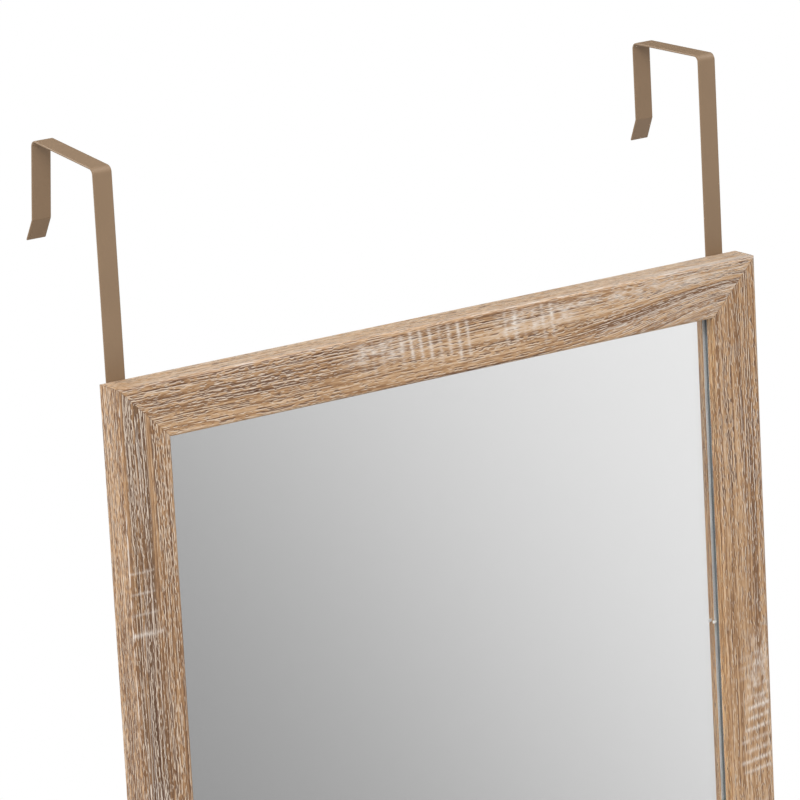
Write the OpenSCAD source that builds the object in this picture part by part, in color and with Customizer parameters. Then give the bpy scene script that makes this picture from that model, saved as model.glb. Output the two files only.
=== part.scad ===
// Over the door mirror: a narrow mitred frame wrapped in oak-look foil, a silvered
// glass in its rebate, and two flat strap hooks that drop over the top of a door.
// X runs along the door, Y into the door, Z up. The origin is on the door's top
// front edge, in the middle of the frame: the door's face is the plane Y = 0 and
// its top is the plane Z = 0. The mirror hangs in front of it, at negative Y.

/* [Frame] */
// Width over the stiles
frame_w = 340; // [280:1:600]
// Height over the rails
frame_h = 940; // [600:1:1600]
// Width of the moulding's face
moulding_w = 25; // [24:0.5:40]
// Depth of the moulding, front to back
moulding_d = 15; // [15:0.5:25]
// Radius of the moulding's two front arrises
front_r = 1.5; // [0.5:0.1:3]
// Radius of the moulding's back outer arris
back_r = 0.4; // [0.2:0.1:1]
// Thickness of the lip in front of the glass
lip_t = 5; // [4:0.5:6]
// How far the rebate is cut in under the lip
rebate_w = 8; // [6:0.5:9]

/* [Glass and back] */
// Thickness of the silvered glass
glass_t = 3; // [2:0.5:4]
// Width of the seamed edge of the glass
glass_seam = 0.5; // [0.3:0.1:1]
// Thickness of the foam sheet behind the glass
cushion_t = 1; // [0.5:0.5:2]
// Thickness of the backing board
board_t = 3; // [2:0.5:3]
// Gap left round the glass and the board
edge_gap = 1; // [0.5:0.1:2]
// Fixing points along each long side
side_points = 5; // [3:1:8]
// Fixing points along each short side
end_points = 2; // [2:1:3]

/* [Hooks] */
// Width of the steel strap
strap_w = 9.5; // [8:0.5:16]
// Thickness of the steel strap
strap_t = 0.8; // [0.6:0.1:1.5]
// Clear gap between the two legs, for the door
door_gap = 48; // [36:1:60]
// Rise of the strap's upper face above the frame
hook_rise = 92.5; // [60:0.5:120]
// Distance between the two hooks' middles
hook_spacing = 320; // [200:1:322]
// How far both hooks sit to one side of the middle
hook_shift = -1.6; // [-2:0.1:2]
// Length of the leg behind the door, down to the kink
back_leg = 36; // [20:1:60]
// Length of the kinked tip
tip_len = 11; // [6:0.5:20]
// Angle of the kinked tip from the leg
tip_angle = 24; // [10:1:45]
// Inner radius of the strap's two upper bends
bend_r = 2.2; // [1:0.1:5]
// Inner radius of the strap's kink
kink_r = 1.2; // [0.8:0.1:3]
// How far the left hook is sprung open at its front bend, in degrees
left_open = 6.8; // [0:0.1:8]
// How far the right hook is sprung open at its front bend, in degrees
right_open = 0; // [0:0.1:8]
// Length of the strap screwed to the back of the stile
tail_len = 75; // [60:1:150]
// Distance from the top of the frame to the upper screw
upper_screw = 24; // [20:1:30]
// Distance between the two screws of a hook
screw_pitch = 38; // [25:1:100]

/* [Screws, nails and bumpers] */
// Shank diameter of the hook screws
screw_d = 3; // [2.5:0.1:3.5]
// Length of the hook screws under the head
screw_len = 12; // [8:0.5:13]
// Head diameter of the hook screws
screw_head_d = 6; // [5:0.1:8]
// Diameter of the screw holes in the strap
strap_hole_d = 3.6; // [3.5:0.1:4]
// Height of the screw head
screw_head_h = 1.7; // [1.2:0.1:2.5]
// Diameter of a bumper
bumper_d = 14; // [8:1:16]
// Length of each wing of a corner nail
nail_wing = 3; // [2:0.1:3.5]
// Depth that a corner nail is driven in
nail_depth = 8; // [5:0.5:10]
// Thickness of the corner nail's steel
nail_t = 0.4; // [0.3:0.1:0.6]

/* [Hidden] */

$fn = 64;

// Overlap used only to cut cleanly through a face
cut = 1;

// Steps in each bend of a strap
bend_steps = 12;

foil = [0.70, 0.58, 0.46];
taupe = [0.60, 0.51, 0.41];
zinc = [0.75, 0.76, 0.78];
steel_grey = [0.55, 0.56, 0.58];
silver = [0.86, 0.88, 0.90];
foam_white = [0.93, 0.93, 0.91];
board_brown = [0.48, 0.36, 0.25];
felt_grey = [0.42, 0.41, 0.40];

// Planes across the depth
back_y = -strap_t;
front_y = back_y - moulding_d;
glass_y = front_y + lip_t;
cushion_y = glass_y + glass_t;
board_y = cushion_y + cushion_t;
points_y = board_y + board_t;

// Heights
frame_top = strap_t - hook_rise;
frame_bottom = frame_top - frame_h;
frame_mid = (frame_top + frame_bottom) / 2;

// The glass and the sheets behind it, and the sight size of the opening
body_w = moulding_w - rebate_w;
pane_w = frame_w - 2 * (body_w + edge_gap);
pane_h = frame_h - 2 * (body_w + edge_gap);

left_hook_x = hook_shift - hook_spacing / 2;
right_hook_x = hook_shift + hook_spacing / 2;
bumper_t = strap_t + screw_head_h;
bumper_inset = body_w / 2;

// Fixing points: flat pointed tabs, half driven into the wall of the rebate
point_w = 6;
point_t = 0.5;
point_free = 8;
point_in = 7;
point_tip = 2.5;

// Corner nails: distance of the two nails from the outer corner, along one face
nail_places = [5.5, 12];
nail_bend = 0.8;

// Pan head screws with a cross recess
recess_w = 1;
recess_len = 3.4;
recess_deep = 1.1;
screw_tip = 3;

// Removes the corner at the origin of the first quadrant, leaving radius r
module corner_cut(r) {
    difference() {
        translate([-cut, -cut]) square(r + cut);
        translate([r, r]) circle(r);
    }
}

// Section of the moulding, looking along it: first axis is depth from the front
// face, second axis is the distance in from the outer edge, taken as negative.
module moulding_section() {
    difference() {
        translate([0, -moulding_w]) square([moulding_d, moulding_w]);
        translate([lip_t, -moulding_w - cut]) square([moulding_d, rebate_w + cut]);
        mirror([0, 1]) corner_cut(front_r);
        translate([0, -moulding_w]) corner_cut(front_r);
        translate([moulding_d, 0]) rotate(180) corner_cut(back_r);
    }
}

// A member lying along X with its outer edge up, both ends cut at 45 degrees
module member(length) {
    intersection() {
        rotate([90, 0, 90])
            linear_extrude(height = length, center = true) moulding_section();
        translate([0, moulding_d + cut, 0]) rotate([90, 0, 0])
            linear_extrude(height = moulding_d + 2 * cut)
                polygon([[-length / 2 - cut, cut], [length / 2 + cut, cut],
                    [length / 2 - moulding_w - cut, -moulding_w - cut],
                    [-length / 2 + moulding_w + cut, -moulding_w - cut]]);
    }
}

// Puts a child drawn on the top edge of a box of half sizes hx and hz on the
// side that lies at the given angle: 0 top, 90 right, 180 bottom, -90 left.
module on_side(angle) {
    out = abs(angle) == 90 ? frame_w / 2 : frame_h / 2;
    translate([0, front_y, frame_mid]) rotate([0, angle, 0])
        translate([0, 0, out]) children();
}

// One V-shaped corner nail, driven across a mitre from the back
module corner_nail(place) {
    reach = nail_wing + nail_bend;
    translate([place, 0, -place]) rotate([0, -45, 0]) rotate([-90, 0, 0])
        linear_extrude(height = nail_depth)
            polygon([[-reach, reach / 2], [0, 0], [reach, reach / 2],
                [reach, reach / 2 - nail_t], [0, -nail_t],
                [-reach, reach / 2 - nail_t]]);
}

// The two nails of the corner on the given sides, -1 or 1
module corner_nails(side_x, side_z) {
    translate([side_x * frame_w / 2, back_y - nail_depth,
        frame_mid + side_z * frame_h / 2])
        mirror([side_x > 0 ? 1 : 0, 0, 0])
            mirror([0, 0, side_z < 0 ? 1 : 0])
                for (place = nail_places) corner_nail(place);
}

// One fixing point on the top rail's rebate wall, pointing up into the wood
module fixing_point() {
    translate([0, points_y - front_y + point_t, -body_w]) rotate([90, 0, 0])
        linear_extrude(height = point_t)
            polygon([[-point_w / 2, -point_free], [point_w / 2, -point_free],
                [point_w / 2, point_in - point_tip], [0, point_in],
                [-point_w / 2, point_in - point_tip]]);
}

// A row of fixing points, evenly spaced along one side
module point_row(angle, count) {
    span = abs(angle) == 90 ? frame_h : frame_w;
    on_side(angle)
        for (i = [0 : count - 1])
            translate([span * ((i + 0.5) / count - 0.5), 0, 0]) fixing_point();
}

module points_top() {
    color(zinc) point_row(0, end_points);
}

module points_bottom() {
    color(zinc) point_row(180, end_points);
}

module points_left() {
    color(zinc) point_row(-90, side_points);
}

module points_right() {
    color(zinc) point_row(90, side_points);
}

module corner_nails_top_left() {
    color(steel_grey) corner_nails(-1, 1);
}

module corner_nails_top_right() {
    color(steel_grey) corner_nails(1, 1);
}

module corner_nails_bottom_left() {
    color(steel_grey) corner_nails(-1, -1);
}

module corner_nails_bottom_right() {
    color(steel_grey) corner_nails(1, -1);
}

// A pan head wood screw along Y, its head's underside on the plane Y = 0
module hook_screw() {
    difference() {
        union() {
            rotate([90, 0, 0]) cylinder(h = screw_len - screw_tip, d = screw_d);
            translate([0, screw_tip - screw_len, 0]) rotate([90, 0, 0])
                cylinder(h = screw_tip, d1 = screw_d, d2 = 0.4);
            rotate([-90, 0, 0]) rotate_extrude() pan_head_section();
        }
        for (turn = [0, 90])
            rotate([0, turn, 0])
                translate([-recess_len / 2, screw_head_h - recess_deep, -recess_w / 2])
                    cube([recess_len, recess_deep + cut, recess_w]);
    }
}

// Half section of the screw head, with a rounded rim
module pan_head_section() {
    rim = screw_head_h * 0.6;
    difference() {
        square([screw_head_d / 2, screw_head_h]);
        translate([screw_head_d / 2, screw_head_h]) rotate(180) corner_cut(rim);
    }
}

module hook_screws(x) {
    for (down = [upper_screw, upper_screw + screw_pitch])
        translate([x, 0, frame_top - down]) hook_screw();
}

module left_hook_screws() {
    color(zinc) hook_screws(left_hook_x);
}

module right_hook_screws() {
    color(zinc) hook_screws(right_hook_x);
}

// Clearance for the point of every screw and nail, taken out of the wood
module fastener_seats() {
    hook_screws(left_hook_x);
    hook_screws(right_hook_x);
    for (side_x = [-1, 1])
        for (side_z = [-1, 1])
            corner_nails(side_x, side_z);
    point_row(0, end_points);
    point_row(180, end_points);
    point_row(90, side_points);
    point_row(-90, side_points);
}

module top_rail() {
    color(foil) difference() {
        on_side(0) member(frame_w);
        fastener_seats();
    }
}

module bottom_rail() {
    color(foil) difference() {
        on_side(180) member(frame_w);
        fastener_seats();
    }
}

module left_stile() {
    color(foil) difference() {
        on_side(-90) member(frame_h);
        fastener_seats();
    }
}

module right_stile() {
    color(foil) difference() {
        on_side(90) member(frame_h);
        fastener_seats();
    }
}

// A flat sheet of the pane's size, its front on the plane y
module sheet(y, thickness) {
    translate([-pane_w / 2, y, frame_mid - pane_h / 2]) cube([pane_w, thickness, pane_h]);
}

// Section of the pane across its thickness, over the given width, edges seamed
module seamed_section(width) {
    s = glass_seam;
    polygon([[-width / 2 + s, 0], [width / 2 - s, 0], [width / 2, s],
        [width / 2, glass_t - s], [width / 2 - s, glass_t],
        [-width / 2 + s, glass_t], [-width / 2, glass_t - s], [-width / 2, s]]);
}

module mirror_glass() {
    color(silver) translate([0, glass_y, frame_mid]) intersection() {
        linear_extrude(height = pane_h, center = true) seamed_section(pane_w);
        rotate([0, 90, 0])
            linear_extrude(height = pane_w, center = true) seamed_section(pane_h);
    }
}

module foam_sheet() {
    color(foam_white) sheet(cushion_y, cushion_t);
}

module backing_board() {
    color(board_brown) sheet(board_y, board_t);
}

// A hook as straight runs: the run's length on the outer face, between sharp
// corners, then the turn at its end, to the right if positive, and the turn's
// inner radius. It starts at the stile: up, back over the door, down, and out.
function hook_runs(open) = [
    [tail_len + hook_rise, 90 - open, bend_r],
    [door_gap + 2 * strap_t, 90, bend_r],
    [back_leg, -tip_angle, kink_r],
    [tip_len, 0, 0]];

function direction(angle) = [cos(angle), sin(angle)];

// What a turn takes off the runs beside it, on the outer face
function setback(turn, r) = (turn > 0 ? r + strap_t : r) * tan(abs(turn) / 2);

// Stations along the strap's middle line, each a place and a heading
function stations(runs, at, heading, i = 0, taken = 0) =
    i == len(runs) ? [] :
    let (turn = runs[i][1],
        side = sign(turn),
        set = setback(turn, runs[i][2]),
        r = runs[i][2] + strap_t / 2,
        end = at + (runs[i][0] - taken - set) * direction(heading),
        centre = end + r * direction(heading - 90 * side),
        next = centre + r * direction(heading + 90 * side - turn),
        steps = turn == 0 ? [] : [1 : bend_steps - 1])
    concat([[at, heading], [end, heading]],
        [for (k = steps)
            let (a = turn * k / bend_steps)
            [centre + r * direction(heading + 90 * side - a), heading - a]],
        stations(runs, next, heading - turn, i + 1, set));

// Outline of a strap of even thickness about those stations
function strap_outline(line) = concat(
    [for (s = line) s[0] + strap_t / 2 * direction(s[1] + 90)],
    [for (i = [len(line) - 1 : -1 : 0])
        line[i][0] + strap_t / 2 * direction(line[i][1] - 90)]);

// Section of a hook in the plane of depth and height
module hook_section(open) {
    start = [-strap_t / 2, frame_top - tail_len];
    polygon(strap_outline(stations(hook_runs(open), start, 90)));
}

module hook(x, open) {
    color(taupe) difference() {
        translate([x - strap_w / 2, 0, 0]) rotate([90, 0, 90])
            linear_extrude(height = strap_w) hook_section(open);
        for (down = [upper_screw, upper_screw + screw_pitch])
            translate([x, -strap_t / 2, frame_top - down]) rotate([90, 0, 0])
                cylinder(h = strap_t + 2 * cut, d = strap_hole_d, center = true);
    }
}

module left_hook() {
    hook(left_hook_x, left_open);
}

module right_hook() {
    hook(right_hook_x, right_open);
}

// A soft disc that keeps the bottom of the frame off the door
module bumper(x) {
    color(felt_grey)
        translate([x, back_y, frame_bottom + bumper_inset]) rotate([-90, 0, 0])
            rotate_extrude() difference() {
                square([bumper_d / 2, bumper_t]);
                translate([bumper_d / 2, bumper_t]) rotate(180) corner_cut(bumper_t / 2);
            }
}

module left_bumper() {
    bumper(bumper_inset - frame_w / 2);
}

module right_bumper() {
    bumper(frame_w / 2 - bumper_inset);
}

top_rail();
bottom_rail();
left_stile();
right_stile();
corner_nails_top_left();
corner_nails_top_right();
corner_nails_bottom_left();
corner_nails_bottom_right();
mirror_glass();
foam_sheet();
backing_board();
points_top();
points_bottom();
points_left();
points_right();
left_hook();
right_hook();
left_hook_screws();
right_hook_screws();
left_bumper();
right_bumper();
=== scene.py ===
"""Looks of the over the door mirror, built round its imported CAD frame.

The part's own frame is used throughout: X along the door, Y into the door, Z up, with
the origin on the door's top front edge. Blender works in metres. Lengths named here are
in millimetres, and MM turns them into metres.
"""

import math

import bmesh
import bpy
from mathutils import Matrix, Vector


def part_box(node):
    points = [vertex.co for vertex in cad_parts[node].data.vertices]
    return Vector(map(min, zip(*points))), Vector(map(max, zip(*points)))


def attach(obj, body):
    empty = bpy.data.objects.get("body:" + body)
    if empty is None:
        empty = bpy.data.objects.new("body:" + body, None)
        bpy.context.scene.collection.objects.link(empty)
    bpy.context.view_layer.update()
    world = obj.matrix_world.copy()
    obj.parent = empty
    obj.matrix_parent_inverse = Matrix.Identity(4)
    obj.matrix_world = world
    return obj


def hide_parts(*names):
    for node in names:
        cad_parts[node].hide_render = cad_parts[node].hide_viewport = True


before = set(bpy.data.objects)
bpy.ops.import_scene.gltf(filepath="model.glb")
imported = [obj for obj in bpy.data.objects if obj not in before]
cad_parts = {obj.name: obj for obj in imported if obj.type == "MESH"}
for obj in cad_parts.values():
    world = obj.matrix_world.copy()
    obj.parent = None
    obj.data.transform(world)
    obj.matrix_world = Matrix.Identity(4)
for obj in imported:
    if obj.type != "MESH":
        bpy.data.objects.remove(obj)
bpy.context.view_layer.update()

MM = 0.001
ROOT = "root"
scene = bpy.context.scene


def corners_mm(node_name):
    """Lowest and highest corner of a CAD node, in millimetres."""
    low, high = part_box(node_name)
    return low / MM, high / MM


# ---------------------------------------------------------------- sizes read from the frame
RAIL_LOW, RAIL_HIGH = corners_mm("top_rail")
PANE_LOW, PANE_HIGH = corners_mm("mirror_glass")

HALF_WIDTH = RAIL_HIGH.x
FACE_WIDTH = RAIL_HIGH.z - RAIL_LOW.z
DEPTH = RAIL_HIGH.y - RAIL_LOW.y
FRONT_Y = RAIL_LOW.y
FRAME_TOP = RAIL_HIGH.z
FRAME_BOTTOM = corners_mm("bottom_rail")[0].z

# Thickness of the lip in front of the glass, the gap round the glass's edge, and the width
# of the moulding beside the rebate
LIP = PANE_LOW.y - FRONT_Y
EDGE_GAP = 1.0
BODY_WIDTH = HALF_WIDTH - PANE_HIGH.x - EDGE_GAP


# ---------------------------------------------------------------- node trees written as sums
class Wire:
    """A number flowing through a node tree, so that formulas can be written as formulas."""

    def __init__(self, graph, socket):
        self.graph = graph
        self.socket = socket

    def __add__(self, other):
        return self.graph.math("ADD", self, other)

    def __sub__(self, other):
        return self.graph.math("SUBTRACT", self, other)

    def __rsub__(self, other):
        return self.graph.math("SUBTRACT", other, self)

    def __mul__(self, other):
        return self.graph.math("MULTIPLY", self, other)

    def __truediv__(self, other):
        return self.graph.math("DIVIDE", self, other)

    def __rtruediv__(self, other):
        return self.graph.math("DIVIDE", other, self)

    __radd__ = __add__


class Graph:
    """Adds nodes to a node tree. Inputs can be numbers, colours, sockets or wires."""

    def __init__(self, tree):
        self.tree = tree

    def feed(self, socket, value):
        if isinstance(value, Wire):
            value = value.socket
        if isinstance(value, bpy.types.NodeSocket):
            self.tree.links.new(value, socket)
        else:
            socket.default_value = value

    def node(self, kind, inputs=None, **settings):
        made = self.tree.nodes.new(kind)
        for name, value in settings.items():
            setattr(made, name, value)
        for key, value in (inputs or {}).items():
            self.feed(made.inputs[key], value)
        return made

    def math(self, operation, *values):
        made = self.node("ShaderNodeMath", dict(enumerate(values)), operation=operation)
        return Wire(self, made.outputs[0])

    def point(self, x, y, z=0.0):
        return self.node("ShaderNodeCombineXYZ", {"X": x, "Y": y, "Z": z}).outputs[0]

    def split(self, vector):
        made = self.node("ShaderNodeSeparateXYZ", {0: vector})
        return [Wire(self, socket) for socket in made.outputs]

    def noise(self, vector, scale=1.0, detail=0.0, roughness=0.5):
        """Smooth noise about zero, mostly between -0.5 and 0.5."""
        made = self.node("ShaderNodeTexNoise", {"Vector": vector, "Scale": scale, "Detail": detail,
                                                "Roughness": roughness})
        return Wire(self, made.outputs[0]) - 0.5

    def cells(self, vector):
        """Distance to the nearest of a random set of points, and three random numbers for each."""
        made = self.node("ShaderNodeTexVoronoi", {"Vector": vector, "Scale": 1.0}, voronoi_dimensions="2D")
        colour = self.node("ShaderNodeSeparateColor", {0: made.outputs["Color"]})
        return Wire(self, made.outputs["Distance"]), [Wire(self, socket) for socket in colour.outputs]

    def chance(self, value):
        """A random number from 0 to 1 for each whole value."""
        made = self.node("ShaderNodeTexWhiteNoise", {"W": value}, noise_dimensions="1D")
        return Wire(self, made.outputs["Value"])

    def smooth(self, value, low, high):
        """0 below low and 1 above high, eased between. Low may be the larger one."""
        made = self.node("ShaderNodeMapRange", {"Value": value, "From Min": low, "From Max": high},
                         interpolation_type="SMOOTHSTEP")
        return Wire(self, made.outputs[0])

    def window(self, value, start, end, soft):
        """1 between start and end, with soft edges."""
        return self.smooth(value, start - soft, start + soft) * self.smooth(value, end + soft, end - soft)

    def windows(self, value, parts):
        """Sum of windows, each with its start, end, softness and strength."""
        return sum(self.window(value, start, end, soft) * strength for start, end, soft, strength in parts)

    def bell(self, value, centre, width):
        """1 at the centre, falling away smoothly to either side."""
        offset = (value - centre) / width
        return self.math("EXPONENT", offset * offset * -1.0)

    def ramp(self, value, stops):
        """Colour at a value, from (value, colour) stops."""
        made = self.node("ShaderNodeValToRGB", {0: value})
        elements = made.color_ramp.elements
        while len(elements) < len(stops):
            elements.new(0.5)
        for element, (place, colour) in zip(elements, stops):
            element.position = place
            element.color = colour
        return made.outputs[0]

    def mix(self, amount, first, second, blend="MIX"):
        """Colour that goes from the first to the second as the amount goes from 0 to 1."""
        made = self.node("ShaderNodeMix", {0: amount, 6: first, 7: second}, data_type="RGBA",
                         blend_type=blend)
        return made.outputs[2]

    def mix_number(self, amount, first, second):
        made = self.node("ShaderNodeMix", {0: amount, 2: first, 3: second})
        return Wire(self, made.outputs[0])

    def bump(self, height, distance):
        """Normal of a surface that rises by the distance, in millimetres, for each unit of height."""
        return self.node("ShaderNodeBump", {"Height": height, "Distance": distance * MM}).outputs[0]

    def place(self):
        """Place on the part, in millimetres: x, y and z."""
        coordinates = self.node("ShaderNodeTexCoord").outputs["Object"]
        return [axis / MM for axis in self.split(coordinates)]


def srgb(red, green, blue):
    """A colour written as screen values from 0 to 255."""
    def linear(value):
        value /= 255
        return value / 12.92 if value <= 0.04045 else ((value + 0.055) / 1.055) ** 2.4
    return (linear(red), linear(green), linear(blue), 1.0)


def new_material(name):
    """A material with one Principled shader: returns the material, its graph and the shader."""
    material = bpy.data.materials.new(name)
    material.use_nodes = True
    graph = Graph(material.node_tree)
    return material, graph, material.node_tree.nodes["Principled BSDF"]


def dress(node_name, material):
    """Gives a CAD node its material."""
    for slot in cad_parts[node_name].material_slots:
        slot.material = material


def add_object(name, data):
    """A new object in the scene."""
    made = bpy.data.objects.new(name, data)
    scene.collection.objects.link(made)
    return made


# ---------------------------------------------------------------- camera
# The photograph's view, solved from the straight edges of the frame and hooks
PHOTO_PX = 800
FOCAL_PX = 5850.6
YAW = math.radians(33.848)
PITCH = math.radians(14.141)
ROLL = math.radians(-3.082)
CAMERA_AT = Vector((-1404.3, -2068.9, 500.4)) * MM
SENSOR_WIDTH = 36.0


def make_camera():
    """Camera to the left of the mirror and above its top edge, looking in and down."""
    forward = Vector((math.sin(YAW) * math.cos(PITCH), math.cos(YAW) * math.cos(PITCH), -math.sin(PITCH)))
    level_right = forward.cross(Vector((0, 0, 1))).normalized()
    level_up = level_right.cross(forward)
    right = math.cos(ROLL) * level_right + math.sin(ROLL) * level_up
    up = right.cross(forward)
    data = bpy.data.cameras.new("photo_camera")
    data.sensor_width = SENSOR_WIDTH
    data.lens = SENSOR_WIDTH * FOCAL_PX / PHOTO_PX
    camera = add_object("photo_camera", data)
    axes = Matrix((right, up, -forward)).transposed()
    camera.matrix_world = Matrix.Translation(CAMERA_AT) @ axes.to_4x4()
    scene.camera = camera


# ---------------------------------------------------------------- studio
# Light on surfaces: an even level, and how much it grows towards +X, +Y and +Z
AMBIENT = 0.67
AMBIENT_SLOPE = (-0.29, -0.03, 0.30)

# Tones of the studio that glass and metal show, by direction in degrees: azimuth 0 is
# straight out of the mirror, and positive to the right. The dark tone rises in a soft step
# to the right and another to the left, with their tone, middle and width. Both steps lean,
# by the tilt for each degree above the level
STUDIO_DARK = 0.260
STUDIO_RIGHT = (0.770, 33.417, 2.076)
STUDIO_LEFT = (0.54, -3.0, 5.0)
STUDIO_TILT = 0.665
STUDIO_LEVEL = -15.0

# Softboxes for highlights on bends and arrises, one high on the right and one behind
# the door: their tone, azimuth, elevation and spread, and how much wider than high
SOFTBOXES = ((4.8, 60, 46, 20), (6.0, -166, 36, 20))
SOFTBOX_STRETCH = 1.4

# A dark flag behind the door on the right, which keeps level tops from washing out: its
# azimuth, elevation and spread, and how much wider than high
FLAG = (145, 18, 34)
FLAG_STRETCH = 1.2


def studio_tone(g, x, y, z):
    """Tone of the studio in a direction."""
    azimuth = g.math("DEGREES", g.math("ARCTAN2", x, y * -1.0))
    elevation = g.math("DEGREES", g.math("ARCSINE", z))
    tilted = azimuth + (elevation - STUDIO_LEVEL) * STUDIO_TILT

    def rise(value, tone, middle, width):
        """A soft step of the given tone, centred at middle degrees."""
        return tone / (g.math("EXPONENT", (middle - value) / width) + 1.0)

    tone = rise(tilted, *STUDIO_RIGHT) + rise(tilted * -1.0, *STUDIO_LEFT) + STUDIO_DARK
    for box_tone, box_azimuth, box_elevation, spread in SOFTBOXES:
        away = g.math("ABSOLUTE", g.math("WRAP", azimuth - box_azimuth, -180.0, 180.0))
        box = g.bell(away, 0, spread * SOFTBOX_STRETCH) * g.bell(elevation, box_elevation, spread)
        tone = tone + box * box_tone

    flag_azimuth, flag_elevation, spread = FLAG
    flag = g.bell(azimuth, flag_azimuth, spread * FLAG_STRETCH) * g.bell(elevation, flag_elevation, spread)
    return tone * (1.0 - flag)


def make_world():
    """White to the camera, even light on surfaces, and soft tones in reflections."""
    world = bpy.data.worlds.new("studio")
    scene.world = world
    world.use_nodes = True
    world.node_tree.nodes.clear()
    g = Graph(world.node_tree)
    x, y, z = g.split(g.node("ShaderNodeTexCoord").outputs["Generated"])
    rays = g.node("ShaderNodeLightPath").outputs
    mirrored = g.math("MAXIMUM", rays["Is Glossy Ray"], rays["Is Transmission Ray"])
    mirrored = mirrored * g.math("LESS_THAN", rays["Diffuse Depth"], 0.5)
    slope_x, slope_y, slope_z = AMBIENT_SLOPE
    ambient = x * slope_x + y * slope_y + z * slope_z + AMBIENT
    strength = g.mix_number(mirrored, ambient, studio_tone(g, x, y, z))
    strength = g.mix_number(rays["Is Camera Ray"], strength, 1.0)
    light = g.node("ShaderNodeBackground", {"Color": (1, 1, 1, 1), "Strength": strength})
    g.node("ShaderNodeOutputWorld", {0: light.outputs[0]})


KEY_AT = (-1600, -1350, 1800)
KEY_TARGET = (0, 0, -400)
KEY_SIZE = 1400
KEY_WATTS = 51


def make_key_lamp():
    """A large soft square lamp on the left, above the mirror and in front of it."""
    data = bpy.data.lights.new("key", "AREA")
    data.size = KEY_SIZE * MM
    data.energy = KEY_WATTS
    lamp = add_object("key", data)
    lamp.location = Vector(KEY_AT) * MM
    lamp.rotation_euler = (Vector(KEY_TARGET) - Vector(KEY_AT)).to_track_quat("-Z", "Y").to_euler()
    lamp.visible_glossy = False
    lamp.visible_camera = False


# The floor fades to white between two shares of its radius
FLOOR_RADIUS = 2600
FLOOR_DROP = 60
FLOOR_STEPS = 96
FLOOR_FADE = (0.35, 0.95)


def make_floor():
    """A pale round floor below the mirror, fading to the white of the background."""
    mesh = bpy.data.meshes.new("floor")
    bm = bmesh.new()
    bmesh.ops.create_circle(bm, cap_ends=True, segments=FLOOR_STEPS, radius=FLOOR_RADIUS * MM)
    bm.to_mesh(mesh)
    bm.free()
    floor = add_object("floor", mesh)
    floor.location = (0, 0, (FRAME_BOTTOM - FLOOR_DROP) * MM)
    floor.visible_glossy = False
    floor.visible_transmission = False

    material = bpy.data.materials.new("floor_white")
    material.use_nodes = True
    material.node_tree.nodes.clear()
    g = Graph(material.node_tree)
    x, y, _ = g.place()
    reach = g.math("SQRT", x * x + y * y)
    painted = g.node("ShaderNodeBsdfDiffuse", {"Color": srgb(250, 250, 250)}).outputs[0]
    white = g.node("ShaderNodeEmission", {"Color": (1, 1, 1, 1)}).outputs[0]
    clear = g.node("ShaderNodeBsdfTransparent").outputs[0]
    fading = g.smooth(reach, *(FLOOR_RADIUS * share for share in FLOOR_FADE))
    seen = g.node("ShaderNodeMixShader", {0: fading, 1: painted, 2: white}).outputs[0]
    below = g.node("ShaderNodeNewGeometry").outputs["Backfacing"]
    shown = g.node("ShaderNodeMixShader", {0: below, 1: seen, 2: clear}).outputs[0]
    g.node("ShaderNodeOutputMaterial", {0: shown})
    mesh.materials.append(material)


# ---------------------------------------------------------------- oak foil
# Tones of the printed oak, from dark streaks to pale ones, and the tones laid over them
OAK_TONES = [
    (0.00, srgb(111, 78, 50)),
    (0.25, srgb(143, 107, 73)),
    (0.50, srgb(173, 137, 100)),
    (0.75, srgb(192, 159, 125)),
    (1.00, srgb(202, 179, 155)),
]
LIME = srgb(220, 210, 200)
FLECK = srgb(209, 189, 167)
PORE = srgb(82, 46, 18)
SMOKE = srgb(84, 57, 34)
# Tint of the inner wall: painted shade
WALL_PAINTED_SHADE_TINT = (0.94, 0.89, 0.75, 1.0)

# Where each member starts on the long printed foil, and how often the print's saw marks
# and its arched grain come again. Places on the foil are in millimetres, along it and
# across it from the outer arris, and CYCLE stands for the place along one repeat. A
# stretch is its start, its end, how soft these are and, where it has one, its strength
PRINT_START = {"top_rail": 0, "right_stile": -1321, "left_stile": 1085, "bottom_rail": 2310}
PRINT_REPEAT = 420
ARCH_REPEAT = 1260

# The level tone, and how much lighter or darker parts of the print are. The outer faces' lift is partly paler
# print and partly painted light
TONE_LEVEL = 0.385
OUTER_PALER_AND_PAINTED_LIGHT = 0.37
OUTER_SMOKY_DARKER = 0.31
SMOKY_DARKER = 0.21
PLAIN_DARKER = 0.05
RING_DARKER = 0.56
LIGHTER_CYCLE = ((118, 345, 15, 0.05), (238, 345, 15, 0.06))

# Streaks along the grain: length, width and strength of each layer over the whole foil,
# then of those on the outer face and on the inner wall
STREAKS = ((200, 7, 0.75), (150, 2.6, 0.66), (130, 1.2, 1.10), (24, 0.9, 0.55), (6, 0.65, 0.90))
OUTER_STREAKS = ((12, 1.6, 1.20), (3, 1.1, 1.50))
WALL_STREAKS = ((22, 1.1, 0.80),)

# Fine lines of the grain keep their course this far, and are broken into shorter dashes
DASH_RUN = 130

# The arched grain: where along the print it peaks, its width and rise, and its rings
ARCH_PEAK = 325
ARCH_WIDTH = 60
ARCH_RISE = 0.51
ARCH_LINE = 17
ARCH_PITCH = 12

# The smoked band with its deepest part, the plain lines on both sides of it and the
# speckles beyond them
SMOKE_ALONG = (1060, 1420, 40)
SMOKE_ACROSS = (1.6, 12.5, 1.0)
DEEP_ALONG = (1227, 1276, 12)
DEEP_ACROSS = (4, 14, 2)
PLAIN_ALONG = (1070, 1182, 15)
PLAIN_ACROSS = ((0.2, 1.6, 0.4, 1.0), (12.2, 14.6, 0.9, 1.0))
SPECKLED_ACROSS = (14.5, 24, 1.0)

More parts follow.
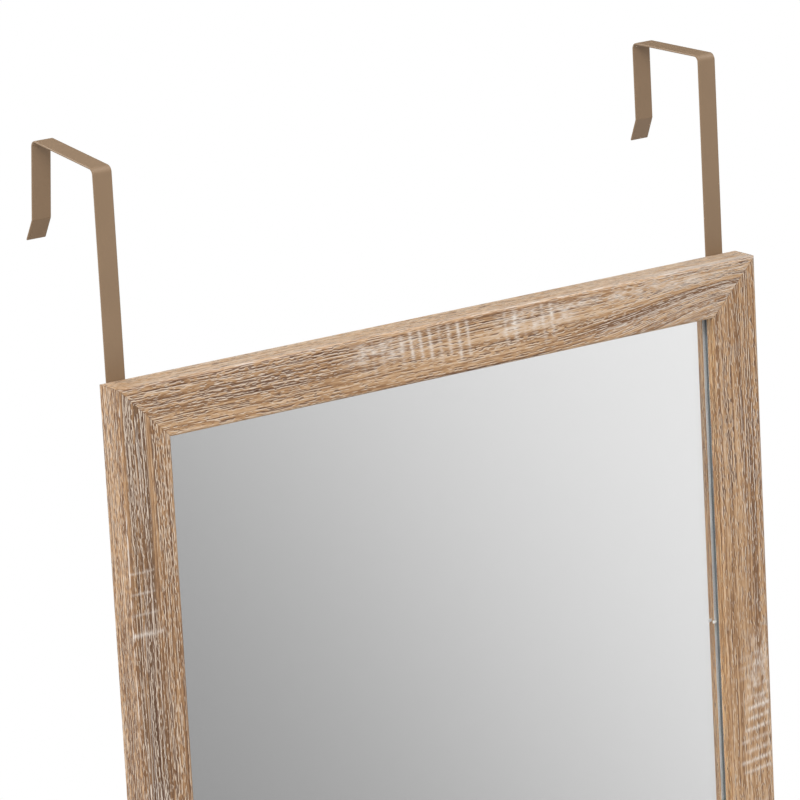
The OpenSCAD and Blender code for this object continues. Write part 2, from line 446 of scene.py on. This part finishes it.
# Open pores: length, width and seed of each kind, and how far beside each its fleck lies.
# Fewer are open in the calm stretch, and more in the busy one
PORES = ((5, 0.54, 21.0), (2.2, 0.50, 22.0))
FLECK_ASIDE = 0.45
CALM_ALONG = (-1215, -900, 25)
CALM_CUT = 0.03
BUSY_CYCLE = (-20, 118, 14)
BUSY_ACROSS = (0, 13, 3)
BUSY_SHARE = 0.6

# Limed saw marks across the grain, in a pale haze that trails off near the outer arris
SAW_MARKS = {"first": 149.2, "pitch": 5.05, "width": 1.0, "lean": 0.12, "reach": (1, 18)}
SAW_CYCLE = ((122, 147, 1.5, 0.40), (147, 181.5, 1.5, 1.00), (198, 228, 3.0, 0.70))
HAZE_ACROSS = (2.5, 12, 2)
HAZE_CYCLE = ((118, 150, 8, 0.70), (196, 240, 6, 0.70))
TRAIL_ACROSS = (1, 7, 1.5)
TRAIL_CYCLE = ((236, 315, 12, 0.75),)

# A few finer marks across the smoked band, and a single scratch: its middle and width
FINE_MARKS = {"first": 1166, "pitch": 9.2, "width": 0.6, "lean": 0.0, "reach": (-1, 15)}
FINE_ALONG = ((1158, 1190, 2, 0.5),)
SCRATCH_ALONG = (1193.4, 1.0)
SCRATCH_ACROSS = (-1, 15, 1.0)

# Pale bands on the outer face, dashed and even, and the rub along the arris: their middle
# and width across the foil. Both are partly pale print and wear and partly a painted
# highlight along the rounded outer arris
CROWN_ACROSS = (-2.4, 1.9)
CROWN_DASHED_CYCLE = (12, 110, 12)
CROWN_EVEN_CYCLE = ((110, 345, 15, 0.20), (285, 345, 12, 0.40))
RUB_AND_HIGHLIGHT_ACROSS = (-0.4, 0.45)


class Foil:
    """The oak print at a place along and across the foil."""

    def __init__(self, g, along, across):
        self.g = g
        self.along = along
        self.across = across
        self.cycle = g.math("WRAP", along, 0.0, PRINT_REPEAT)
        self.outer = g.smooth(across, 0.5, -1.5)
        self.wall = g.smooth(across, FACE_WIDTH - 0.6, FACE_WIDTH + 0.8)
        self.smoky = g.window(along, *SMOKE_ALONG)
        self.smoke = g.window(across, *SMOKE_ACROSS) * self.smoky
        self.plain = g.windows(across, PLAIN_ACROSS) * g.window(along, *PLAIN_ALONG)

        # Grain lines that wander, and that spread where the grain arches
        wander = self.streak(across, seed=0.0, length=130, width=30) * 4.5
        ripple = self.streak(across, seed=7.0, length=30, width=8, detail=0.0) * 0.5
        self.arch = g.bell(g.math("PINGPONG", along - ARCH_PEAK, ARCH_REPEAT / 2), 0, ARCH_WIDTH)
        self.line = (across + wander + ripple) / (1.0 - self.arch * ARCH_RISE)

    def streak(self, across, seed, length, width, detail=1.0):
        """Noise about zero, drawn out along the grain."""
        return self.g.noise(self.g.point(self.along / length, across / width, seed), detail=detail)

    def dashes(self, across, seed, length, width, cut):
        """Long lines along the grain, broken into dashes, where their noise rises over the cut."""
        lines = self.streak(across, seed, DASH_RUN, width, detail=0.0)
        breaks = self.streak(across, seed + 0.5, length, width * 1.3, detail=0.0)
        return self.g.smooth(lines * 0.8 + breaks * 0.7 - cut, 0.0, 0.08)

    def saw_marks(self, along, first, pitch, width, lean, reach):
        """Evenly pitched marks across the grain, each of its own strength and length."""
        g = self.g
        place = (along - first - self.across * lean) / pitch
        number = g.math("ROUND", place)
        strength = g.chance(number + 0.5) * 0.5 + 0.5
        shorter = g.chance(number + 40.5) * 6
        start, end = reach
        ends = g.smooth(self.across, start - 1.0, start + 2.0)
        ends = ends * g.smooth(self.across - end + shorter - 2, 2.0, -2.0)
        return g.bell((place - number) * pitch, 0, width) * ends * strength

    def growth_rings(self):
        """Rings round the arched grain: each starts sharply and fades, and the later ones are fainter."""
        g = self.g
        second_line = ARCH_LINE + ARCH_PITCH
        ring = g.math("FRACT", (self.line - ARCH_LINE) / ARCH_PITCH)
        rings = g.smooth(ring, 0.0, 0.05) * g.smooth(ring, 0.62, 0.25)
        rings = rings * g.smooth(self.line, ARCH_LINE - 1.0, ARCH_LINE) * g.smooth(self.arch, 0.02, 0.30)
        return rings * (g.smooth(self.line, second_line, second_line - 4) * 0.6 + 0.4)

    def tone(self):
        """Tone of the bare oak: streaks along the grain, and darker rings where it arches."""
        # Outer faces lifted lighter: partly paler print, partly painted light on those faces
        tone = self.outer * (OUTER_PALER_AND_PAINTED_LIGHT - self.smoky * OUTER_SMOKY_DARKER)
        tone = tone - self.plain * PLAIN_DARKER - self.smoky * SMOKY_DARKER + TONE_LEVEL
        tone = tone + self.g.windows(self.cycle, LIGHTER_CYCLE)
        for length, width, strength in STREAKS:
            tone = tone + self.streak(self.line, seed=width, length=length, width=width) * strength
        for length, width, strength in OUTER_STREAKS:
            layer = self.streak(self.across, seed=51.0, length=length, width=width)
            tone = tone + layer * self.outer * strength
        for length, width, strength in WALL_STREAKS:
            layer = self.streak(self.across, seed=61.0, length=length, width=width)
            tone = tone + layer * self.wall * strength
        return tone - self.growth_rings() * RING_DARKER

    def smoked(self, colour):
        """Smoke over a colour, with long dark and pale lines in it."""
        g = self.g
        deep = g.window(self.across, *DEEP_ACROSS) * g.window(self.along, *DEEP_ALONG)
        veins = self.dashes(self.line, seed=11.0, length=60, width=0.85, cut=0.02)
        colour = g.mix(self.smoke * (veins * 0.60 + 0.18) + deep * 0.34, colour, SMOKE)
        threads = self.dashes(self.line, seed=12.0, length=24, width=0.55, cut=0.10)
        return g.mix(self.smoke * threads * 0.36, colour, LIME)

    def pored(self, colour):
        """Open pores over a colour, each beside a limed fleck: returns the colour and the pores."""
        g = self.g
        calm = g.window(self.along, *CALM_ALONG) * CALM_CUT
        busy = g.window(self.cycle, *BUSY_CYCLE) * g.window(self.across, *BUSY_ACROSS) * BUSY_SHARE
        limy = g.math("MAXIMUM", busy + self.smoke * 0.4, g.smooth(self.arch, 0.05, 0.40) * 0.8)
        speckled = g.window(self.across, *SPECKLED_ACROSS) * self.smoky
        pore_cut = calm - busy * 0.05 + 0.15
        fleck_cut = calm - limy * 0.04 + 0.14
        speck_cut = calm - speckled * 0.09 - limy * 0.04 + 0.15
        pores = 0.0
        flecks = 0.0
        for length, width, seed in PORES:
            pores = pores + self.dashes(self.line, seed, length, width, pore_cut)
            flecks = flecks + self.dashes(self.line - FLECK_ASIDE, seed, length, width, fleck_cut)
        flecks = flecks + self.dashes(self.line, seed=23.0, length=2.5, width=0.5, cut=speck_cut)
        grained = 1.0 - self.plain
        colour = g.mix(flecks * grained * 0.65, colour, g.mix(limy * 0.5 + 0.05, FLECK, LIME))
        return g.mix(pores * grained * 0.76, colour, PORE), pores

    def sawn(self):
        """Limed saw marks and their haze, worn off between the fibres."""
        g = self.g
        haze = g.smooth(self.streak(self.across, seed=9.0, length=7, width=4), -0.18, 0.14)
        haze = haze * g.window(self.across, *HAZE_ACROSS) * (1.0 - self.smoky)
        trail = g.windows(self.cycle, TRAIL_CYCLE) * g.window(self.across, *TRAIL_ACROSS)
        scratch = g.bell(self.along, *SCRATCH_ALONG) * g.window(self.across, *SCRATCH_ACROSS) * 0.8
        limed = self.saw_marks(self.cycle, **SAW_MARKS) * g.windows(self.cycle, SAW_CYCLE)
        limed = limed + haze * (g.windows(self.cycle, HAZE_CYCLE) + trail)
        limed = limed + self.saw_marks(self.along, **FINE_MARKS) * g.windows(self.along, FINE_ALONG) + scratch
        worn = g.smooth(self.streak(self.line, seed=6.0, length=3, width=0.7), -0.16, 0.14)
        return limed * (worn * 0.75 + 0.25)

    def limed(self):
        """All the lime: saw marks, bands on the outer face, a line in the arch and rub spots. The bands and
        the rub along the outer arris are partly a painted highlight.
        """
        g = self.g
        # Pale bands beside the outer arris: partly print, partly a painted highlight
        crown_and_highlight = self.dashes(self.across, seed=33.0, length=5, width=1.0, cut=0.0) * 0.40 + 0.15
        crown_and_highlight = crown_and_highlight * g.window(self.cycle, *CROWN_DASHED_CYCLE) + g.windows(self.cycle, CROWN_EVEN_CYCLE)
        crown_and_highlight = crown_and_highlight * g.bell(self.across, *CROWN_ACROSS) * (1.0 - self.smoky)

        # A broken line inside the first growth ring
        inside = g.bell(self.line, ARCH_LINE + 5.5, 1.1) * g.smooth(self.arch, 0.05, 0.30)
        inside = inside * self.dashes(self.line, seed=24.0, length=4, width=0.9, cut=-0.04) * 0.55

        # Foil worn pale here and there along the outer arris, partly a painted highlight there
        rubbed_and_highlit = self.dashes(self.across, seed=31.0, length=6, width=1.4, cut=0.02)
        rubbed_and_highlit = rubbed_and_highlit * g.bell(self.across, *RUB_AND_HIGHLIGHT_ACROSS) * 0.9
        return self.sawn() + crown_and_highlight + inside + rubbed_and_highlit


def foil_print(g, along, across):
    """The print's colour, its tone from 0 to 1 and its embossed height, at a place on the foil."""
    foil = Foil(g, along, across)
    tone = foil.tone()
    colour, pores = foil.pored(foil.smoked(g.ramp(tone, OAK_TONES)))
    limed = foil.limed()
    # The lime laid on here includes the painted highlight along the outer arris
    colour = g.mix(limed * 0.80, colour, LIME)
    height = tone * 0.5 - pores + limed * 0.3

    # The inner wall is tinted browner and darker, a painted shade matched to the light on that wall
    return g.mix(foil.wall, colour, WALL_PAINTED_SHADE_TINT, blend="MULTIPLY"), tone, height


# The foil comes round the back by FOIL_WRAP. Under the lip its paper side shows, white
# within PAPER_EDGE of the inner arris and painted darker deeper in, as painted shade under
# the lip. SKIN is how near to a face counts as on it
FOIL_WRAP = 6.5
PAPER_EDGE = 1.25
PAPER_LIGHT = srgb(254, 255, 255)
PAPER_PAINTED_SHADE = srgb(178, 189, 197)
CORE_TONES = (srgb(156, 126, 92), srgb(196, 168, 132))
MITRE_LINE = 0.12
MITRE_SHADE = srgb(96, 74, 56)
SKIN = 0.05


def member_place(g, member, x, z):
    """Places along a member, inward from its outer face, and inward from its nearer neighbour's."""
    if member.endswith("rail"):
        along = x + HALF_WIDTH
        inward = FRAME_TOP - z if member == "top_rail" else z - FRAME_BOTTOM
        other = HALF_WIDTH - g.math("ABSOLUTE", x)
    else:
        along = FRAME_TOP - z
        inward = HALF_WIDTH - x if member == "right_stile" else x + HALF_WIDTH
        other = (FRAME_TOP - FRAME_BOTTOM) / 2 - g.math("ABSOLUTE", z - (FRAME_TOP + FRAME_BOTTOM) / 2)
    return along, inward, other


def make_oak(member):
    """Oak foil wrapped round one member of the frame, over a core that shows at the back."""
    material, g, shader = new_material("oak_foil_" + member)
    x, y, z = g.place()
    depth = y - FRONT_Y
    along, inward, other = member_place(g, member, x, z)

    # The foil unrolled: over the outer arris it goes back in one direction, and over
    # the inner arris in the other
    inner_half = g.math("GREATER_THAN", inward, FACE_WIDTH / 2)
    across = inward + depth * (inner_half * 2.0 - 1.0)
    colour, tone, height = foil_print(g, along + PRINT_START[member], across)

    # Fine dark line where the mitres meet
    gap = g.math("ABSOLUTE", inward - other)
    mitre = g.smooth(gap, MITRE_LINE * 2, MITRE_LINE * 0.5)
    colour = g.mix(mitre * 0.55, colour, MITRE_SHADE)

    # Core at the back and in the rebate, with the paper side of the foil under the lip
    behind = g.math("GREATER_THAN", depth, DEPTH - SKIN) * g.math("GREATER_THAN", inward, FOIL_WRAP)
    rebate = g.math("GREATER_THAN", depth, LIP - SKIN) * g.math("GREATER_THAN", inward, BODY_WIDTH - SKIN)
    core = g.math("MAXIMUM", behind, rebate)
    under = rebate * g.math("LESS_THAN", depth, LIP + SKIN)
    speckle = g.noise(g.point(x, y, z), scale=2.2, detail=3.0)
    colour = g.mix(core, colour, g.mix(speckle * 1.6 + 0.5, *CORE_TONES))
    # Painted shade: the paper darkens away from the inner arris, deeper under the lip
    edge = g.smooth(inward, FACE_WIDTH - PAPER_EDGE - 0.1, FACE_WIDTH - PAPER_EDGE + 0.1)
    colour = g.mix(under, colour, g.mix(edge, PAPER_PAINTED_SHADE, PAPER_LIGHT))
    g.feed(shader.inputs["Base Color"], colour)
    g.feed(shader.inputs["Roughness"], g.mix_number(core, tone * -0.12 + 0.54, 0.85))
    g.feed(shader.inputs["Normal"], g.bump(height, 0.05))
    return material


# ---------------------------------------------------------------- hooks
PAINT_TONES = (srgb(129, 106, 82), srgb(137, 113, 88))

# The eased edges, and what is merged, flattened and counted as sharp before they are cut
EDGE_ROUND = 0.34
EDGE_STEPS = 3
WELD_WITHIN = 0.002
FLAT_WITHIN = math.radians(0.5)
SHARP_OVER = math.radians(40)


def make_paint():
    """Satin taupe paint on steel strap."""
    material, g, shader = new_material("taupe_paint")
    spot = g.point(*g.place())
    cloud = g.noise(spot, scale=0.05, detail=2.0)
    g.feed(shader.inputs["Base Color"], g.mix(cloud + 0.5, *PAINT_TONES))
    g.feed(shader.inputs["Roughness"], g.noise(spot, scale=0.7) * 0.1 + 0.45)
    shader.inputs["Specular IOR Level"].default_value = 0.4
    g.feed(shader.inputs["Normal"], g.bump(g.noise(spot, scale=1.6, detail=1.0), 0.02))
    return material


def round_edges(node_name):
    """Eases the sharp edges of a CAD node with modifiers, which leave its own mesh alone."""
    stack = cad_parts[node_name].modifiers
    weld = stack.new("weld", "WELD")
    weld.merge_threshold = WELD_WITHIN * MM
    flats = stack.new("flats", "DECIMATE")
    flats.decimate_type = "DISSOLVE"
    flats.angle_limit = FLAT_WITHIN
    bevel = stack.new("bevel", "BEVEL")
    bevel.width = EDGE_ROUND * MM
    bevel.segments = EDGE_STEPS
    bevel.limit_method = "ANGLE"
    bevel.angle_limit = SHARP_OVER
    bevel.use_clamp_overlap = False
    bevel.harden_normals = True


# ---------------------------------------------------------------- fasteners, board and bumpers
NAIL_TONES = (srgb(132, 134, 138), srgb(158, 160, 163))
ZINC_TONES = (srgb(196, 200, 207), srgb(212, 207, 192))
FOAM_TONES = (srgb(246, 246, 242), srgb(226, 226, 220))
RUBBER_TONES = (srgb(98, 97, 95), srgb(122, 120, 117))
BOARD_TONES = [(0.0, srgb(92, 66, 42)), (0.45, srgb(128, 97, 66)), (1.0, srgb(158, 126, 90))]

# Pressed fibres and stray shives of the board: their width and height, and for shives their
# tone and how many show
FIBRE_SIZE = (0.5, 1.2)
SHIVE_SIZE = (2.2, 1.1)
SHIVE_TONE = srgb(66, 47, 32)
SHIVE_SHARE = 0.16


def make_steel(name, tones, roughness, cloud_size):
    """Bare or plated steel: clouded tone, patchy gloss and fine drawing marks."""
    material, g, shader = new_material(name)
    spot = g.point(*g.place())
    cloud = g.noise(spot, scale=1 / cloud_size, detail=2.0)
    fine = g.noise(spot, scale=6.0, detail=2.0)
    g.feed(shader.inputs["Base Color"], g.mix(cloud * 1.6 + 0.5, *tones))
    shader.inputs["Metallic"].default_value = 1.0
    g.feed(shader.inputs["Roughness"], fine * 0.25 + cloud * 0.15 + roughness)
    g.feed(shader.inputs["Normal"], g.bump(fine, 0.015))
    return material


def make_foam():
    """White closed-cell foam sheet."""
    material, g, shader = new_material("foam")
    spot = g.point(*g.place())
    cells = g.node("ShaderNodeTexVoronoi", {"Vector": spot, "Scale": 1.3}).outputs["Distance"]
    g.feed(shader.inputs["Base Color"], g.mix(cells, *FOAM_TONES))
    shader.inputs["Roughness"].default_value = 0.7
    g.feed(shader.inputs["Normal"], g.bump(cells, 0.12))
    return material


def make_hardboard():
    """Brown hardboard, its smooth face out: pressed fibres, darker clouds and stray dark shives."""
    material, g, shader = new_material("hardboard_brown")
    x, y, z = g.place()
    fibre_width, fibre_height = FIBRE_SIZE
    shive_width, shive_height = SHIVE_SIZE
    cloud = g.noise(g.point(x, y, z), scale=0.035, detail=3.0)
    fibre = g.noise(g.point(x / fibre_width, y, z / fibre_height), detail=3.0, roughness=0.6)
    tone = cloud * 0.2 + fibre + 0.5
    distance, (pick, shade, _) = g.cells(g.point(x / shive_width, z / shive_height))
    shive = g.smooth(distance, 0.30, 0.10) * g.math("LESS_THAN", pick, SHIVE_SHARE) * (shade * 0.5 + 0.3)
    g.feed(shader.inputs["Base Color"], g.mix(shive, g.ramp(tone, BOARD_TONES), SHIVE_TONE))
    g.feed(shader.inputs["Roughness"], fibre * 0.25 + 0.55)
    g.feed(shader.inputs["Normal"], g.bump(tone - shive, 0.06))
    return material


def make_rubber():
    """Soft grey rubber with a fine moulded grain."""
    material, g, shader = new_material("rubber")
    spot = g.point(*g.place())
    grain = g.noise(spot, scale=2.4, detail=3.0, roughness=0.65)
    cloud = g.noise(spot, scale=0.2, detail=1.0)
    g.feed(shader.inputs["Base Color"], g.mix(cloud + grain * 0.8 + 0.5, *RUBBER_TONES))
    g.feed(shader.inputs["Roughness"], grain * 0.2 + 0.72)
    g.feed(shader.inputs["Normal"], g.bump(grain, 0.05))
    return material


# ---------------------------------------------------------------- mirror
# The pane lies between hair-thin gaps, one behind the lip and one before the silver. Its
# seam is the chamfer ground along its edges
GLASS_GAP = 0.05
GLASS_IOR = 1.52
SILVER_THICKNESS = 0.06
SEAM = 0.5
SILVER_TONE = srgb(238, 238, 238)
BACK_PAINT = srgb(128, 131, 134)


def sheet_mesh(name, low, high, seam):
    """A flat upright sheet with its edges seamed, from corner to corner in millimetres."""
    bm = bmesh.new()
    bmesh.ops.create_cube(bm, size=1.0)
    for vertex in bm.verts:
        vertex.co = Vector([(high[i] if vertex.co[i] > 0 else low[i]) * MM for i in range(3)])
    if seam:
        face_edges = [e for e in bm.edges if e.verts[0].co.y == e.verts[1].co.y]
        bmesh.ops.bevel(bm, geom=face_edges, offset=seam * MM, segments=2, profile=0.5, affect="EDGES")
    bmesh.ops.recalc_face_normals(bm, faces=bm.faces)
    mesh = bpy.data.meshes.new(name)
    bm.to_mesh(mesh)
    bm.free()
    return add_object(name, mesh)


def make_glass_material():
    """Clear float glass."""
    material, _, shader = new_material("float_glass")
    shader.inputs["Base Color"].default_value = (1, 1, 1, 1)
    shader.inputs["Transmission Weight"].default_value = 1.0
    shader.inputs["Roughness"].default_value = 0.0
    shader.inputs["IOR"].default_value = GLASS_IOR
    return material


def make_silver_material():
    """Silver seen through the glass, and grey backing paint from behind."""
    material, g, shader = new_material("silvering")
    _, y, _ = g.place()
    paint = g.smooth(y, PANE_HIGH.y - 0.01, PANE_HIGH.y)
    g.feed(shader.inputs["Base Color"], g.mix(paint, SILVER_TONE, BACK_PAINT))
    g.feed(shader.inputs["Metallic"], 1.0 - paint)
    g.feed(shader.inputs["Roughness"], paint * 0.5)
    return material


def make_mirror():
    """The pane as clear glass over a thin coat of silver."""
    low = PANE_LOW.copy()
    high = PANE_HIGH.copy()
    low.y += GLASS_GAP
    high.y -= GLASS_GAP + SILVER_THICKNESS
    pane = sheet_mesh("glass_pane", low, high, SEAM)
    pane.data.materials.append(make_glass_material())
    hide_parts("mirror_glass")
    low = Vector((PANE_LOW.x + SEAM, PANE_HIGH.y - SILVER_THICKNESS, PANE_LOW.z + SEAM))
    high = Vector((PANE_HIGH.x - SEAM, PANE_HIGH.y, PANE_HIGH.z - SEAM))
    coat = sheet_mesh("silver_coat", low, high, 0)
    coat.data.materials.append(make_silver_material())
    for piece in (pane, coat):
        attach(piece, ROOT)


# A stray drop of white glue on the glass beside the right stile, as the photograph shows:
# its middle in x and z, and its width, depth and height
DROP_AT = (142.5, -259.9)
DROP_SIZE = (2.4, 0.5, 1.7)
GLUE_TONES = (srgb(250, 250, 248), srgb(238, 238, 234))


def make_glue():
    """White glue that lets some light through."""
    material, g, shader = new_material("white_glue")
    cloud = g.noise(g.point(*g.place()), scale=1.5, detail=2.0)
    g.feed(shader.inputs["Base Color"], g.mix(cloud + 0.5, *GLUE_TONES))
    shader.inputs["Subsurface Weight"].default_value = 1.0
    shader.inputs["Subsurface Radius"].default_value = (1.0, 1.0, 1.0)
    shader.inputs["Subsurface Scale"].default_value = DROP_SIZE[0] * MM
    g.feed(shader.inputs["Roughness"], cloud * 0.2 + 0.35)
    return material


def make_glue_drop():
    """A low domed drop that lies on the glass, a little uneven."""
    width, depth, height = DROP_SIZE
    ball_size = (width, depth * 2, height)
    bm = bmesh.new()
    bmesh.ops.create_icosphere(bm, subdivisions=4, radius=0.5)
    for vertex in bm.verts:
        place = vertex.co
        place *= 1.0 + 0.14 * math.sin(5 * place.x + 1) * math.cos(7 * place.z) + 0.10 * place.x
        place.y = min(place.y, 0.0)
        for axis in range(3):
            place[axis] *= ball_size[axis] * MM
    bmesh.ops.recalc_face_normals(bm, faces=bm.faces)
    mesh = bpy.data.meshes.new("glue_drop")
    bm.to_mesh(mesh)
    bm.free()
    mesh.shade_smooth()
    mesh.materials.append(make_glue())
    drop = add_object("glue_drop", mesh)
    x, z = DROP_AT
    drop.location = Vector((x, PANE_LOW.y + GLASS_GAP, z)) * MM
    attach(drop, ROOT)


# ---------------------------------------------------------------- assembly
make_camera()
make_world()
make_key_lamp()
make_floor()
for member_name in PRINT_START:
    dress(member_name, make_oak(member_name))
paint_material = make_paint()
for hook_name in ("left_hook", "right_hook"):
    dress(hook_name, paint_material)
    round_edges(hook_name)
steel = make_steel("nail_steel", NAIL_TONES, roughness=0.38, cloud_size=4)
zinc = make_steel("zinc_plating", ZINC_TONES, roughness=0.30, cloud_size=7)
for corner in ("top_left", "top_right", "bottom_left", "bottom_right"):
    dress("corner_nails_" + corner, steel)
for side in ("top", "bottom", "left", "right"):
    dress("points_" + side, zinc)
rubber = make_rubber()
for side in ("left", "right"):
    dress(side + "_hook_screws", zinc)
    dress(side + "_bumper", rubber)
dress("foam_sheet", make_foam())
dress("backing_board", make_hardboard())
make_mirror()
make_glue_drop()

scene.view_settings.view_transform = "Standard"

# Light that has crossed the glass reaches the rebate and the inner walls unblurred
scene.cycles.blur_glossy = 0.0
